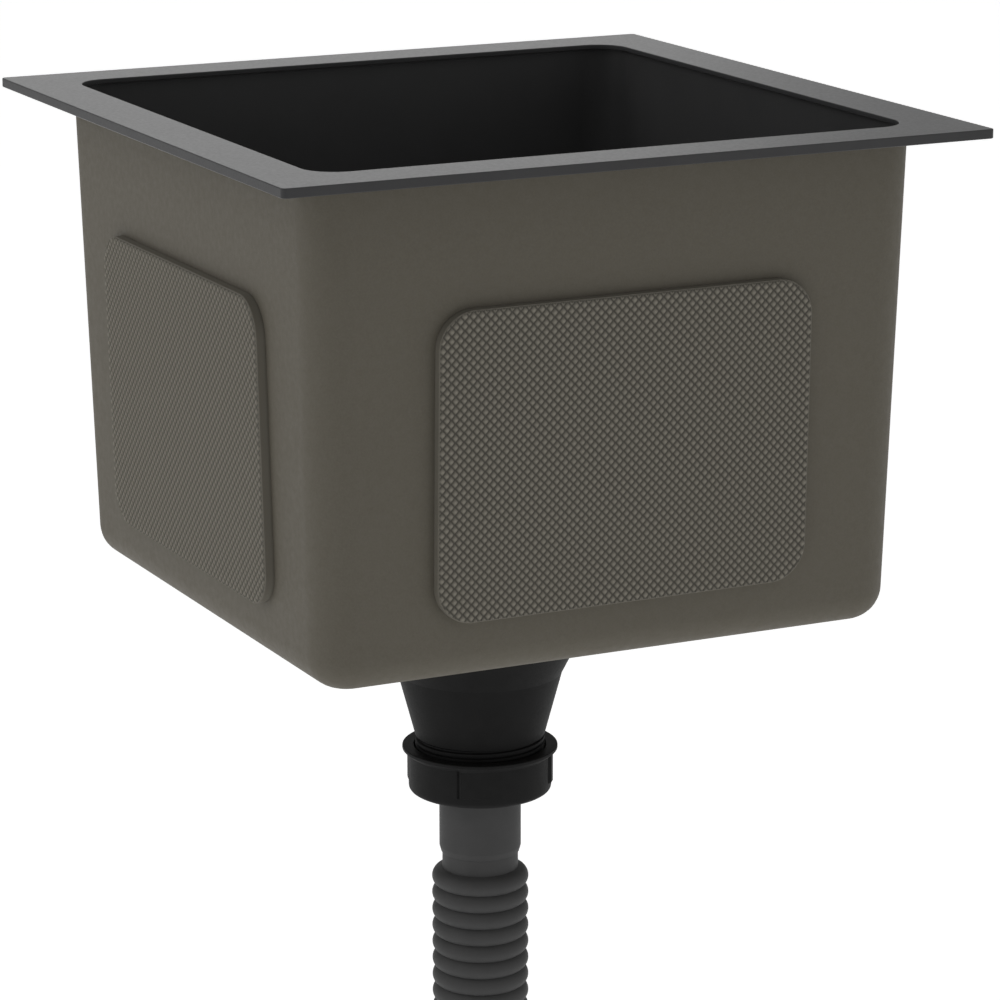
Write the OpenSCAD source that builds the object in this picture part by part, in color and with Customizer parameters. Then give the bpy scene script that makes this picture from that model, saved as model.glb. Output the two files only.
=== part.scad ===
// Square single-bowl kitchen sink with sound pads, basket strainer, waste and ribbed hose.
// The origin is the centre of the rim's underside. +Z is up, -Y is the front, +X is the right.

/* [Rim] */
// Outer side of the square rim
rim_w = 300; // [290:1:330]
// Thickness of the rim plate
rim_t = 3.8; // [2:0.1:5]
// Radius of the rim's outer corners
rim_corner_r = 1; // [0.5:0.5:10]
// Width of the rim between its outer edge and the opening
rim_band = 23.3; // [15:0.1:40]
// Corner radius of the opening
opening_corner_r = 13.5; // [12:0.5:30]

/* [Bowl] */
// Depth from the rim's top face to the floor at the foot of the walls
bowl_depth = 200.5; // [160:0.5:240]
// Set-back of the walls behind the opening's edge
wall_setback = 2.2; // [1:0.1:5]
// Inward slope of the walls, in degrees
draft = 1.45; // [0.8:0.05:1.9]
// Thickness of the drawn sheet
sheet_t = 1; // [0.7:0.1:1.5]
// Inner radius between wall and floor
bottom_r = 12.5; // [8:0.5:12.5]
// Fall of the floor from the walls to the middle
bottom_fall = 2; // [1:0.5:4]
// Depth of the drain seat below the lowest point of the floor
seat_step = 2; // [1.5:0.5:4]

/* [Sound pads] */
// Width of a wall pad
pad_w = 160; // [120:5:180]
// Height of a wall pad
pad_h = 122; // [80:2:126]
// Thickness of every pad
pad_t = 4.5; // [3:0.5:6]
// Corner radius of a wall pad
pad_corner_r = 15; // [8:1:25]
// Radius of the outer edge of every pad
pad_edge_r = 1.5; // [0.5:0.5:2.5]
// Distance from the rim's top face down to the upper edge of a wall pad
pad_drop = 55; // [30:1:60]
// Length of a base pad, front to back
base_pad_l = 110; // [60:5:120]
// Bare floor on each side of a base pad
base_pad_gap = 5.4; // [3:0.2:12]
// Corner radius of a base pad
base_pad_corner_r = 10; // [4:1:12]

/* [Strainer cup] */
// Radius of the cup's flange
flange_r = 57; // [55:0.5:60]
// Outer radius of the cup under its flange
cup_r = 43; // [41:0.5:45]
// Depth of the cup below its flange
cup_depth = 29.5; // [28:0.5:40]
// Sheet thickness of the cup
cup_t = 1; // [0.8:0.1:1.2]
// Number of drain holes in the cup's floor
cup_holes = 8; // [5:1:9]
// Radius of a drain hole
cup_hole_r = 4.5; // [3:0.5:5]
// Thickness of the gasket under the flange
cup_gasket_t = 1.6; // [1:0.1:2]

/* [Basket] */
// Sheet thickness of the basket
basket_t = 0.8; // [0.6:0.1:1]
// Outer radius of the basket's floor
basket_floor_r = 26; // [24:0.5:27]
// Slots round the basket's wall
basket_slots = 20; // [8:1:24]
// Radius of the holes in the basket's floor
basket_hole_r = 1.6; // [1:0.2:2]
// Radius of the lifting post
post_r = 4; // [3:0.5:5]
// Radius of the lifting knob
knob_r = 10; // [8:0.5:12]
// Thickness of the rubber plug under the basket
plug_t = 3.5; // [3:0.5:5]

/* [Waste body] */
// Radius of the waste body's flange
body_flange_r = 55; // [53:0.5:57]
// Thickness of that flange
body_flange_t = 4; // [3:0.5:6]
// Wall of the waste body
body_wall = 3; // [2:0.5:3.5]
// Radius where the funnel ends at the waist
waist_r = 34.6; // [33.5:0.1:36]
// Height of the lower cone
cone_h = 27.6; // [22:0.2:40]
// Outside radius of the outlet's thread
outlet_r = 27; // [26:0.5:28]
// Length of the threaded outlet
outlet_len = 15.8; // [14:0.5:24]
// Thickness of the rubber ring between bowl and waste body
body_gasket_t = 2.5; // [2:0.5:4]

/* [Clamping screw] */
// Radius of the screw's shank
screw_r = 3; // [2.5:0.25:4]
// Radius of the screw's head
screw_head_r = 8; // [7:0.5:9]
// Height of the screw's head
screw_head_h = 4; // [3:0.5:4.5]
// Radius of the threaded insert
insert_r = 5.5; // [5:0.25:6.5]

/* [Coupling nut] */
// Radius of the nut's top flange
nut_flange_r = 32.6; // [32:0.2:36]
// Thickness of that flange at its edge
nut_flange_t = 1.4; // [1:0.1:4]
// Height of the cone under the flange
nut_cone_h = 2.1; // [1:0.1:4]
// Radius of the nut's body
nut_r = 30; // [29.5:0.1:31]
// Height of the nut
nut_h = 19.6; // [16:0.2:24]
// Radius of the nut's lower edge
nut_edge_r = 2.1; // [1:0.1:4]
// Grip lugs round the nut
nut_lugs = 4; // [2:1:8]
// Width of a lug, in degrees
lug_arc = 24; // [10:1:30]
// Height of a lug
lug_h = 13.9; // [6:0.1:14.5]

/* [Hose] */
// Outside radius of the tailpiece's cuff
cuff_r = 17.2; // [16.8:0.1:19]
// Length of the cuff below the nut
cuff_len = 27.3; // [24:0.1:50]
// Outside radius of the hose's plain necks
neck_r = 16; // [14:0.1:16.1]
// Plain neck that shows above the first rib
neck_show = 7.2; // [4:0.2:20]
// Wall of the hose
hose_wall = 1.2; // [0.8:0.1:1.6]
// Radius over the ribs
rib_r = 20.4; // [19.8:0.1:24]
// Radius in the valleys between ribs
rib_valley_r = 18.2; // [17.5:0.1:18.8]
// Distance from rib to rib
rib_pitch = 7.35; // [6:0.05:9]
// Number of ribs
hose_ribs = 34; // [4:1:80]
// Plain neck that is pushed into each end piece
neck_grip = 17.5; // [12:0.5:22]

/* [Outlet spigot] */
// Outside radius of the spigot
spigot_r = 20; // [18:0.5:25]
// Length of the spigot below its collar
spigot_len = 32; // [24:1:60]
// Wall of the spigot
spigot_wall = 3; // [2:0.5:3.5]

/* [Hidden] */
$fn = 96;

// Clearances
cut = 1;
seat_clear = 1.5;
hole_clear = 2;
run_gap = 0.3;
turn_gap = 0.6;
flat_gap = 0.2;
push_gap = 0.2;
screw_gap = 0.4;
weld_gap = 0.1;
glue_gap = 0.02;

// Rim and bowl
opening_half = rim_w / 2 - rim_band;
seat_groove = 0.5;
bowl_half = opening_half + wall_setback;
bowl_corner_r = opening_corner_r + wall_setback;
floor_z = rim_t - bowl_depth;
floor_half = bowl_half + tan(draft) * (floor_z + bottom_r) - bottom_r / cos(draft);
layer = 0.01;
seat_z = floor_z - bottom_fall - seat_step;
seat_r = flange_r + seat_clear;
seat_flare = 1.5;
drain_hole_r = cup_r + hole_clear;

// Pads
pad_mid_z = rim_t - pad_drop - pad_h / 2;
wall_half = bowl_half + sheet_t;
fall_angle = atan(bottom_fall / floor_half);
drain_edge_r = seat_r + seat_flare + sheet_t;
base_pad_w = floor_half - drain_edge_r - 2 * base_pad_gap;
base_pad_x = (drain_edge_r + floor_half) / 2;

// Strainer cup
flange_z = seat_z + cup_gasket_t;
cup_bottom_z = flange_z - cup_depth;
cup_floor_z = cup_bottom_z + cup_t;

// Waste body, from the bowl downwards
body_top_z = seat_z - sheet_t - body_gasket_t;
funnel_top_r = drain_hole_r + body_wall;
funnel_z = body_top_z - body_flange_t;
bridge_gap = 6;
waist_z = cup_bottom_z - bridge_gap;
cup_floor_r = waist_r - body_wall - 0.6;
outlet_root = 0.6;
outlet_z = waist_z - cone_h;
outlet_end_z = outlet_z - outlet_len;
outlet_bore_r = outlet_r - 4.5;
bridge_top_z = waist_z + 2;
bridge_h = 12;
bridge_web = 3;
boss_r = insert_r + 2.5;

// Basket, from the cup's floor upwards
plug_z = cup_floor_z + run_gap;
skirt_z = plug_z + plug_t;
head_room = max(0, cup_floor_z + screw_head_h + run_gap - skirt_z);
sleeve_r = screw_head_r + 2;
skirt_r = sleeve_r + 5;
skirt_h = head_room + 1.5;
basket_z = skirt_z + skirt_h;
basket_top_z = flange_z - 1;
bead_r = 1;
cup_top_in_r = cup_r - cup_t;
basket_top_r = cup_top_in_r - 2.5;
basket_nut_h = 3;
knob_z = flange_z + 2;
knob_h = 9;

// Nut and tailpiece, from the outlet's end downwards
washer_t = 2.2;
tail_flange_t = 3;
nut_lip_t = 3;
nut_bore_r = outlet_r + turn_gap;
lug_t = 0.9;
lug_start = -132;
washer_z = outlet_end_z - flat_gap - washer_t;
tail_flange_z = washer_z - tail_flange_t;
nut_lip_z = tail_flange_z - flat_gap;
nut_z = nut_lip_z - nut_lip_t;
cuff_z = nut_z - cuff_len;
cuff_chamfer = 3;
neck_bore_r = neck_r - hose_wall;

// Hose: each rib is a round bulge whose circle passes through the valleys beside it
rib_rise = rib_r - rib_valley_r;
bulge_r = (pow(rib_pitch / 2, 2) + pow(rib_rise, 2)) / (2 * rib_rise);
bulge_mid_r = rib_r - bulge_r;
first_rib_z = cuff_z - neck_show - bulge_r;
last_rib_z = first_rib_z - (hose_ribs - 1) * rib_pitch;
lower_neck_z = last_rib_z - bulge_r - neck_show;
hose_top_z = cuff_z + neck_grip;
hose_end_z = lower_neck_z - neck_grip;

// Outlet spigot
spigot_collar_t = 3;
collar_z = hose_end_z - push_gap - spigot_collar_t;
spigot_z = collar_z - spigot_len;

echo(bowl_floor = floor_z, seat = seat_z, waist = waist_z, outlet_end = outlet_end_z);
echo(nut = nut_z, cuff = cuff_z, first_rib = first_rib_z, hose_end = hose_end_z, spigot = spigot_z);
echo(rib_wall = rib_valley_r - hose_wall, hose_length = hose_top_z - hose_end_z);

// Half outline of a pad: flat face at y = 0, back at y = -depth with a round edge
module pad_outline(reach, depth, edge_r) {
    steps = 4 + ceil(edge_r);
    corner = [
        for (i = [0 : steps])
            let (a = i * 90 / steps)
            [reach - edge_r + edge_r * cos(a), edge_r - depth - edge_r * sin(a)]
    ];
    polygon(concat([[0, 0], [reach, 0]], corner, [[0, -depth]]));
}

// One straight stretch of a pad, with the half outline on both sides
module pad_bar(length, reach, depth, edge_r) {
    for (side = [0, 1])
        mirror([side, 0, 0])
            rotate([90, 0, 0])
                linear_extrude(height = length, center = true)
                    pad_outline(reach, depth, edge_r);
}

// Pad: two crossed bars and a quarter turn of the outline at each corner
module pad(width, length, depth, corner_r, edge_r) {
    pad_bar(length - 2 * corner_r, width / 2, depth, edge_r);
    rotate([0, 0, 90])
        pad_bar(width - 2 * corner_r, length / 2, depth, edge_r);
    for (side_x = [0, 1], side_y = [0, 1])
        mirror([side_x, 0, 0])
            mirror([0, side_y, 0])
                translate([width / 2 - corner_r, length / 2 - corner_r, 0])
                    rotate_extrude(angle = 90)
                        pad_outline(corner_r, depth, edge_r);
}

// Thin square layer with round corners, for a hull
module bowl_layer(half, corner_r, low_z) {
    for (x = [-1, 1], y = [-1, 1])
        translate([x * (half - corner_r), y * (half - corner_r), low_z])
            cylinder(r = corner_r, h = layer, $fn = 48);
}

// Drawn form of the bowl: sloped walls, upright corners of one radius, round lower edge
// and a floor that falls to the middle in four flats with a crease between each two
module bowl_form(half, low_z, top_z, corner_r, edge_r) {
    steps = 8;
    mid_z = low_z + edge_r;
    mid_half = half + tan(draft) * mid_z - edge_r / cos(draft);
    hull() {
        bowl_layer(half + tan(draft) * top_z, corner_r, top_z - layer);
        for (i = [0 : steps])
            let (a = draft + i * (90 - draft) / steps)
                bowl_layer(mid_half + edge_r * cos(a), corner_r - edge_r + edge_r * cos(a),
                    mid_z - edge_r * sin(a));
        translate([0, 0, low_z - bottom_fall]) cylinder(r1 = 0, r2 = layer, h = layer);
    }
}

// Upright plate with round corners
module round_plate(side, corner_r, height) {
    linear_extrude(height = height) {
        square([side, side - 2 * corner_r], center = true);
        square([side - 2 * corner_r, side], center = true);
        for (x = [-1, 1], y = [-1, 1])
            translate([x * (side / 2 - corner_r), y * (side / 2 - corner_r)])
                circle(r = corner_r);
    }
}

// Ring between two radii
module ring(outer_r, inner_r, low_z, height) {
    translate([0, 0, low_z])
        difference() {
            cylinder(r = outer_r, h = height);
            translate([0, 0, -cut]) cylinder(r = inner_r, h = height + 2 * cut);
        }
}

// Cone between two heights
module cone(low_z, low_r, high_z, high_r) {
    translate([0, 0, low_z]) cylinder(r1 = low_r, r2 = high_r, h = high_z - low_z);
}

module rim_plate() {
    groove_half = wall_half + tan(draft) * seat_groove + weld_gap;
    color([0.42, 0.42, 0.42])
        difference() {
            round_plate(rim_w, rim_corner_r, rim_t);
            translate([0, 0, -cut]) round_plate(2 * opening_half, opening_corner_r, rim_t + 2 * cut);
            translate([0, 0, -cut])
                round_plate(2 * groove_half, bowl_corner_r + sheet_t, cut + seat_groove);
        }
}

module bowl_shell() {
    color([0.33, 0.32, 0.29])
        difference() {
            union() {
                bowl_form(wall_half, floor_z - sheet_t, seat_groove, bowl_corner_r + sheet_t,
                    bottom_r + sheet_t);
                cone(seat_z - sheet_t, seat_r + sheet_t, floor_z - sheet_t / 2,
                    seat_r + sheet_t + seat_flare);
            }
            bowl_form(bowl_half, floor_z, seat_groove + cut, bowl_corner_r, bottom_r);
            cone(seat_z, seat_r, floor_z, seat_r + seat_flare);
            cone(seat_z - sheet_t - cut, drain_hole_r, seat_z + cut, drain_hole_r);
        }
}

// Pad glued on a drafted wall; turn is the wall's direction, counted from the front
module wall_pad(turn) {
    color([0.36, 0.35, 0.32])
        rotate([0, 0, turn])
            translate([0, -wall_half - tan(draft) * pad_mid_z - glue_gap, pad_mid_z])
                rotate([draft - 90, 0, 0])
                    pad(pad_w, pad_h, pad_t, pad_corner_r, pad_edge_r);
}

// Pad glued under the floor, on the right-hand slope, then turned
module base_pad(turn) {
    color([0.36, 0.35, 0.32])
        rotate([0, 0, turn])
            translate([0, 0, floor_z - sheet_t - bottom_fall - glue_gap])
                rotate([0, -fall_angle, 0])
                    translate([base_pad_x, 0, 0])
                        pad(base_pad_w, base_pad_l, pad_t, base_pad_corner_r, pad_edge_r);
}

module front_pad() {
    wall_pad(0);
}

module right_pad() {
    wall_pad(90);
}

module rear_pad() {
    wall_pad(180);
}

module left_pad() {
    wall_pad(270);
}

module base_pad_right() {
    base_pad(0);
}

module base_pad_left() {
    base_pad(180);
}

module strainer_cup() {
    hole_ring_r = (sleeve_r + 1 + cup_floor_r - cup_t) / 2;
    color([0.20, 0.20, 0.20])
        difference() {
            union() {
                cone(flange_z, flange_r, flange_z + cup_t / 2, flange_r);
                cone(flange_z + cup_t / 2, flange_r, flange_z + cup_t, flange_r - cup_t);
                cone(cup_bottom_z, cup_floor_r, flange_z + cup_t / 2, cup_r);
            }
            cone(cup_floor_z, cup_floor_r - cup_t, flange_z + cup_t, cup_top_in_r);
            cone(flange_z - cup_t, cup_top_in_r - cup_t, flange_z + cup_t + 0.01, cup_top_in_r + cup_t);
            cone(cup_bottom_z - cut, screw_r + screw_gap, cup_floor_z + cut, screw_r + screw_gap);
            for (n = [0 : cup_holes - 1])
                rotate([0, 0, n * 360 / cup_holes])
                    translate([hole_ring_r, 0, cup_bottom_z - cut])
                        cylinder(r = cup_hole_r, h = cup_t + 2 * cut);
        }
}

module cup_gasket() {
    color([0.10, 0.10, 0.10])
        ring(flange_r - 0.5, drain_hole_r + 0.5, seat_z, cup_gasket_t);
}

module body_gasket() {
    color([0.10, 0.10, 0.10])
        ring(body_flange_r - 1, drain_hole_r + 0.5, body_top_z, body_gasket_t);
}

// Outside of the waste body: flange, funnel, waist, lower cone and threaded outlet
module waste_outside() {
    cone_end_r = outlet_r + 0.2;
    cone(funnel_z, body_flange_r, body_top_z, body_flange_r);
    cone(waist_z, waist_r, funnel_z, funnel_top_r);
    cone(outlet_z, cone_end_r, waist_z, waist_r);
    cone(outlet_end_z + 1, outlet_r - outlet_root, outlet_z, outlet_r - outlet_root);
    cone(outlet_end_z, outlet_r - outlet_root - 1, outlet_end_z + 1, outlet_r - outlet_root);
}

module waste_body() {
    inner_waist_r = waist_r - body_wall;
    color([0.12, 0.12, 0.12]) {
        difference() {
            waste_outside();
            cone(waist_z, inner_waist_r, body_top_z, drain_hole_r);
            cone(body_top_z - 0.01, drain_hole_r, body_top_z + cut, drain_hole_r);
            cone(outlet_z, outlet_bore_r, waist_z + 0.01, inner_waist_r);
            cone(outlet_end_z - cut, outlet_bore_r, outlet_z + 0.01, outlet_bore_r);
        }
        difference() {
            intersection() {
                waste_outside();
                union() {
                    for (turn = [45, 135])
                        rotate([0, 0, turn])
                            translate([-waist_r, -bridge_web / 2, bridge_top_z - bridge_h])
                                cube([2 * waist_r, bridge_web, bridge_h - 3]);
                    cone(bridge_top_z - bridge_h, boss_r, bridge_top_z, boss_r);
                }
            }
            cone(bridge_top_z - bridge_h - cut, insert_r + 0.1, bridge_top_z + cut, insert_r + 0.1);
        }
    }
}

module clamp_insert() {
    color([0.72, 0.58, 0.30])
        ring(insert_r, screw_r + 0.1, bridge_top_z - bridge_h, bridge_h);
}

module clamp_screw() {
    slot_w = 1.6;
    tip_z = bridge_top_z - bridge_h - 1;
    color([0.75, 0.75, 0.76])
        difference() {
            union() {
                cone(tip_z, screw_r - 0.6, tip_z + 1, screw_r);
                cone(tip_z + 1, screw_r, cup_floor_z + cut, screw_r);
                cone(cup_floor_z, screw_head_r, cup_floor_z + screw_head_h - 1.2, screw_head_r);
                cone(cup_floor_z + screw_head_h - 1.2, screw_head_r, cup_floor_z + screw_head_h,
                    screw_head_r - 1.6);
            }
            translate([-screw_head_r - cut, -slot_w / 2, cup_floor_z + screw_head_h - 1.8])
                cube([2 * screw_head_r + 2 * cut, slot_w, 1.8 + cut]);
        }
}

module basket() {
    slot_w = 3;
    slot_low = basket_z + 4;
    slot_high = basket_top_z - 5;
    hole_rows = [skirt_r + 2.5, basket_floor_r - 3.4];
    color([0.20, 0.20, 0.20])
        difference() {
            union() {
                cone(basket_z, basket_floor_r, basket_top_z, basket_top_r);
                translate([0, 0, basket_top_z])
                    rotate_extrude()
                        translate([basket_top_r - basket_t / 2, 0])
                            circle(r = bead_r);
            }
            cone(basket_z + basket_t, basket_floor_r - basket_t, basket_top_z, basket_top_r - basket_t);
            cone(basket_top_z - 0.01, basket_top_r - basket_t, basket_top_z + 2 * bead_r,
                basket_top_r - basket_t);
            cone(basket_z - cut, post_r + push_gap, basket_z + 2 * cut, post_r + push_gap);
            for (n = [0 : basket_slots - 1])
                rotate([0, 0, n * 360 / basket_slots])
                    translate([basket_floor_r - 3 * basket_t, -slot_w / 2, slot_low])
                        cube([basket_top_r, slot_w, slot_high - slot_low]);
            for (row = hole_rows, n = [0 : 15])
                rotate([0, 0, n * 22.5 + (row == hole_rows[0] ? 0 : 11.25)])
                    translate([row, 0, basket_z - cut])
                        cylinder(r = basket_hole_r, h = basket_t + 2 * cut);
        }
}

module basket_post() {
    color([0.75, 0.75, 0.76])
        difference() {
            union() {
                cone(plug_z + run_gap, sleeve_r, skirt_z + 0.01, sleeve_r);
                cone(skirt_z, skirt_r, basket_z, skirt_r);
                cone(basket_z - 0.01, post_r, knob_z + knob_h / 2, post_r);
            }
            cone(plug_z - cut, screw_head_r + 2 * run_gap, skirt_z + head_room, screw_head_r + 2 * run_gap);
        }
}

module basket_nut() {
    color([0.72, 0.72, 0.73])
        difference() {
            translate([0, 0, basket_z + basket_t])
                cylinder(r = post_r + 3.5, h = basket_nut_h, $fn = 6);
            cone(basket_z, post_r + 0.1, knob_z, post_r + 0.1);
        }
}

// Knob turned from bar: waisted neck, round-edged head, dished underside
module basket_knob() {
    edge_r = 2;
    color([0.20, 0.20, 0.20])
        difference() {
            rotate_extrude()
                intersection() {
                    union() {
                        translate([0, knob_z + knob_h - 2 * edge_r])
                            square([knob_r - edge_r, 2 * edge_r]);
                        translate([knob_r - edge_r, knob_z + knob_h - edge_r]) circle(r = edge_r);
                        polygon([
                            [0, knob_z],
                            [post_r + 2.5, knob_z],
                            [post_r + 1.5, knob_z + 2],
                            [knob_r - edge_r, knob_z + knob_h - 2 * edge_r],
                            [0, knob_z + knob_h - 2 * edge_r]
                        ]);
                    }
                    translate([0, knob_z]) square([knob_r, knob_h]);
                }
            cone(knob_z - cut, post_r + 0.1, knob_z + knob_h / 2 + 0.1, post_r + 0.1);
        }
}

module basket_plug() {
    wall_slope = (cup_top_in_r - cup_floor_r + cup_t) / (flange_z + cup_t - cup_floor_z);
    lip_r = cup_floor_r - cup_t - run_gap;
    color([0.10, 0.10, 0.10])
        difference() {
            cone(plug_z, lip_r, skirt_z, lip_r + wall_slope * plug_t);
            cone(plug_z - cut, sleeve_r + 0.1, skirt_z + cut, sleeve_r + 0.1);
        }
}

module coupling_nut() {
    top_z = nut_z + nut_h;
    lug_top_z = top_z - nut_flange_t;
    color([0.11, 0.11, 0.11])
        difference() {
            union() {
                rotate_extrude() {
                    translate([0, nut_z + nut_edge_r]) square([nut_r, nut_h - nut_edge_r]);
                    translate([0, nut_z]) square([nut_r - nut_edge_r, nut_h]);
                    translate([nut_r - nut_edge_r, nut_z + nut_edge_r]) circle(r = nut_edge_r);
                }
                cone(lug_top_z, nut_flange_r, top_z, nut_flange_r);
                cone(lug_top_z - nut_cone_h, nut_r, lug_top_z, nut_flange_r);
                for (n = [0 : nut_lugs - 1])
                    rotate([0, 0, lug_start + n * 360 / nut_lugs])
                        rotate_extrude(angle = lug_arc)
                            translate([nut_r - lug_t, lug_top_z - lug_h])
                                square([2 * lug_t, lug_h]);
            }
            cone(nut_lip_z, nut_bore_r, top_z + cut, nut_bore_r);
            cone(nut_z - cut, cuff_r + turn_gap, nut_lip_z + cut, cuff_r + turn_gap);
        }
}

module seal_washer() {
    color([0.10, 0.10, 0.10])
        ring(outlet_r - 1.5, outlet_bore_r - 4, washer_z, washer_t);
}

module hose_tailpiece() {
    color([0.25, 0.25, 0.25])
        difference() {
            union() {
                cone(tail_flange_z, outlet_r - 0.5, washer_z, outlet_r - 0.5);
                cone(cuff_z + cuff_chamfer, cuff_r, tail_flange_z + 0.01, cuff_r);
                cone(cuff_z, neck_r + 0.5, cuff_z + cuff_chamfer, cuff_r);
            }
            cone(hose_top_z - cut, neck_bore_r, washer_z + cut, neck_bore_r);
            cone(cuff_z - cut, neck_r + push_gap, hose_top_z + push_gap, neck_r + push_gap);
        }
}

module corrugated_hose() {
    rib_bore_r = rib_valley_r - hose_wall;
    color([0.24, 0.24, 0.24])
        rotate_extrude()
            difference() {
                union() {
                    translate([0, hose_end_z]) square([neck_r, hose_top_z - hose_end_z]);
                    for (n = [0 : hose_ribs - 1])
                        translate([bulge_mid_r, first_rib_z - n * rib_pitch]) circle(r = bulge_r);
                }
                translate([-neck_r, hose_end_z - cut])
                    square([neck_r + neck_bore_r, hose_top_z - hose_end_z + 2 * cut]);
                translate([0, last_rib_z]) square([rib_bore_r, first_rib_z - last_rib_z]);
                for (n = [0 : hose_ribs - 1])
                    translate([bulge_mid_r, first_rib_z - n * rib_pitch])
                        circle(r = bulge_r - hose_wall);
            }
}

module outlet_spigot() {
    socket_z = hose_end_z + neck_grip;
    socket_r = neck_r + spigot_wall;
    collar_r = max(spigot_r, socket_r) + 3;
    color([0.13, 0.13, 0.13])
        difference() {
            union() {
                cone(collar_z, socket_r, socket_z, socket_r);
                cone(collar_z, collar_r, collar_z + spigot_collar_t, collar_r);
                cone(spigot_z + 2, spigot_r, collar_z + 0.01, spigot_r);
                cone(spigot_z, spigot_r - 1, spigot_z + 2, spigot_r);
            }
            cone(hose_end_z - push_gap, neck_r + push_gap, socket_z + cut, neck_r + push_gap);
            cone(spigot_z - cut, neck_bore_r, socket_z, neck_bore_r);
        }
}

rim_plate();
bowl_shell();
front_pad();
rear_pad();
left_pad();
right_pad();
base_pad_left();
base_pad_right();
strainer_cup();
cup_gasket();
body_gasket();
waste_body();
clamp_insert();
clamp_screw();
basket();
basket_post();
basket_nut();
basket_knob();
basket_plug();
coupling_nut();
seal_washer();
hose_tailpiece();
corrugated_hose();
outlet_spigot();
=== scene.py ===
"""Looks of a square single-bowl sink with sound pads, basket strainer, waste and ribbed hose.

Sizes are in metres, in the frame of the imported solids: the origin is the centre of the rim's
underside, +Z is up, -Y is the front and +X is the right.
"""
import math

import bmesh
import bpy
from mathutils import Euler, Matrix, Vector


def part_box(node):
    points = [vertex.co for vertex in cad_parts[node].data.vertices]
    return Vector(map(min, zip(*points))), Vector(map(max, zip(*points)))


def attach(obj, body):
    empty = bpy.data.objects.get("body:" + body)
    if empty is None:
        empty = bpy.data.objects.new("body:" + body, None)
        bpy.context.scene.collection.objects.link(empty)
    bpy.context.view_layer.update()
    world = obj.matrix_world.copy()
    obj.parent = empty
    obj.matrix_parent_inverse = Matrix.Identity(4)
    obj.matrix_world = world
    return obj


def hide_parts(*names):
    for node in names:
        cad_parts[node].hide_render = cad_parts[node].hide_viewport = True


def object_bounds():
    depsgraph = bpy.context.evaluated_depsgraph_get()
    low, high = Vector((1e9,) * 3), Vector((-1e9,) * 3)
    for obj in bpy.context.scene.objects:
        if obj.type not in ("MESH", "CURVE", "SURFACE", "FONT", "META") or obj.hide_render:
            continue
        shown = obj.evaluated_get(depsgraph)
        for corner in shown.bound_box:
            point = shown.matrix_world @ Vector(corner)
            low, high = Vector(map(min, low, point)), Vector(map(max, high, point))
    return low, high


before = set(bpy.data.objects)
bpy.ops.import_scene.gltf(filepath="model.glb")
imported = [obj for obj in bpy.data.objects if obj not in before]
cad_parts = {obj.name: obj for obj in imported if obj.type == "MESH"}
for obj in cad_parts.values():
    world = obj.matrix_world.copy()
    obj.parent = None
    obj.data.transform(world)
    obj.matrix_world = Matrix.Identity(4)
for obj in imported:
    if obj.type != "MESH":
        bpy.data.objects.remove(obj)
cad_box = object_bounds()

MM = 0.001
FULL_TURN = 2 * math.pi

# Rim and bowl
RIM_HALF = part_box("rim_plate")[1].x
RIM_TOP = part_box("rim_plate")[1].z
RIM_BAND = 23.3 * MM
RIM_CORNER = 2 * MM
RIM_EDGE = 0.4 * MM
RIM_LIP = 1.9 * MM
LIP_EDGE = 0.2 * MM
LIP_GAP = 0.03 * MM
RIM_FIT = 0.15 * MM
SHEET = 1 * MM
OPENING_HALF = RIM_HALF - RIM_BAND
OPENING_CORNER = 13.5 * MM
SET_BACK = 2.2 * MM
BOWL_HALF = OPENING_HALF + SET_BACK
BOWL_CORNER = OPENING_CORNER + SET_BACK
DRAFT = math.radians(1.45)
FLOOR_FILLET = 12.5 * MM
FLOOR_FALL = 2 * MM
SEAT_STEP = 2 * MM
SEAT_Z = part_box("bowl_shell")[0].z + SHEET
FLOOR_Z = SEAT_Z + SEAT_STEP + FLOOR_FALL
SEAT_RADIUS = 58.5 * MM
SEAT_FLARE = 1.5 * MM
SEAT_MARGIN = 1.2 * MM
DRAIN_RADIUS = 45 * MM

# Sound pads
PAD_WIDTH = 160 * MM
PAD_HEIGHT = 122 * MM
PAD_THICKNESS = 4.5 * MM
PAD_CORNER = 15 * MM
PAD_EDGE = 0.3 * MM
PAD_DROP = 55 * MM
BASE_PAD_LENGTH = 110 * MM
BASE_PAD_CORNER = 10 * MM
BASE_PAD_GAP = 5.4 * MM
GLUE = 0.02 * MM
WEAVE_PITCH = 2.523 * MM
WEAVE_DEPTH = 0.8 * MM
WEAVE_FADE = 0.3 * MM
DOME_POWER = 0.7
DOME_POINTS = 5

# Waste body
WASTE_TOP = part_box("waste_body")[1].z
WASTE_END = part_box("waste_body")[0].z
WASTE_FLANGE_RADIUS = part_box("waste_body")[1].x
WASTE_FLANGE = 4 * MM
WASTE_WALL = 3 * MM
WAIST_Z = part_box("strainer_cup")[0].z - 6 * MM
WAIST_RADIUS = 34.6 * MM
CONE_HEIGHT = 27.6 * MM
CONE_END_RADIUS = 27.2 * MM
THREAD_TOP = WAIST_Z - CONE_HEIGHT
THREAD_ROOT = 26.1 * MM
THREAD_CREST = 27.15 * MM
THREAD_PITCH = 2.3 * MM
THREAD_CHAMFER = 1.2 * MM
OUTLET_BORE = 22.5 * MM
INSERT_FIT = 0.1 * MM
BOSS_WALL = 2.4 * MM
WEB = 3 * MM
WEB_OVERLAP = 1 * MM

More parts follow.
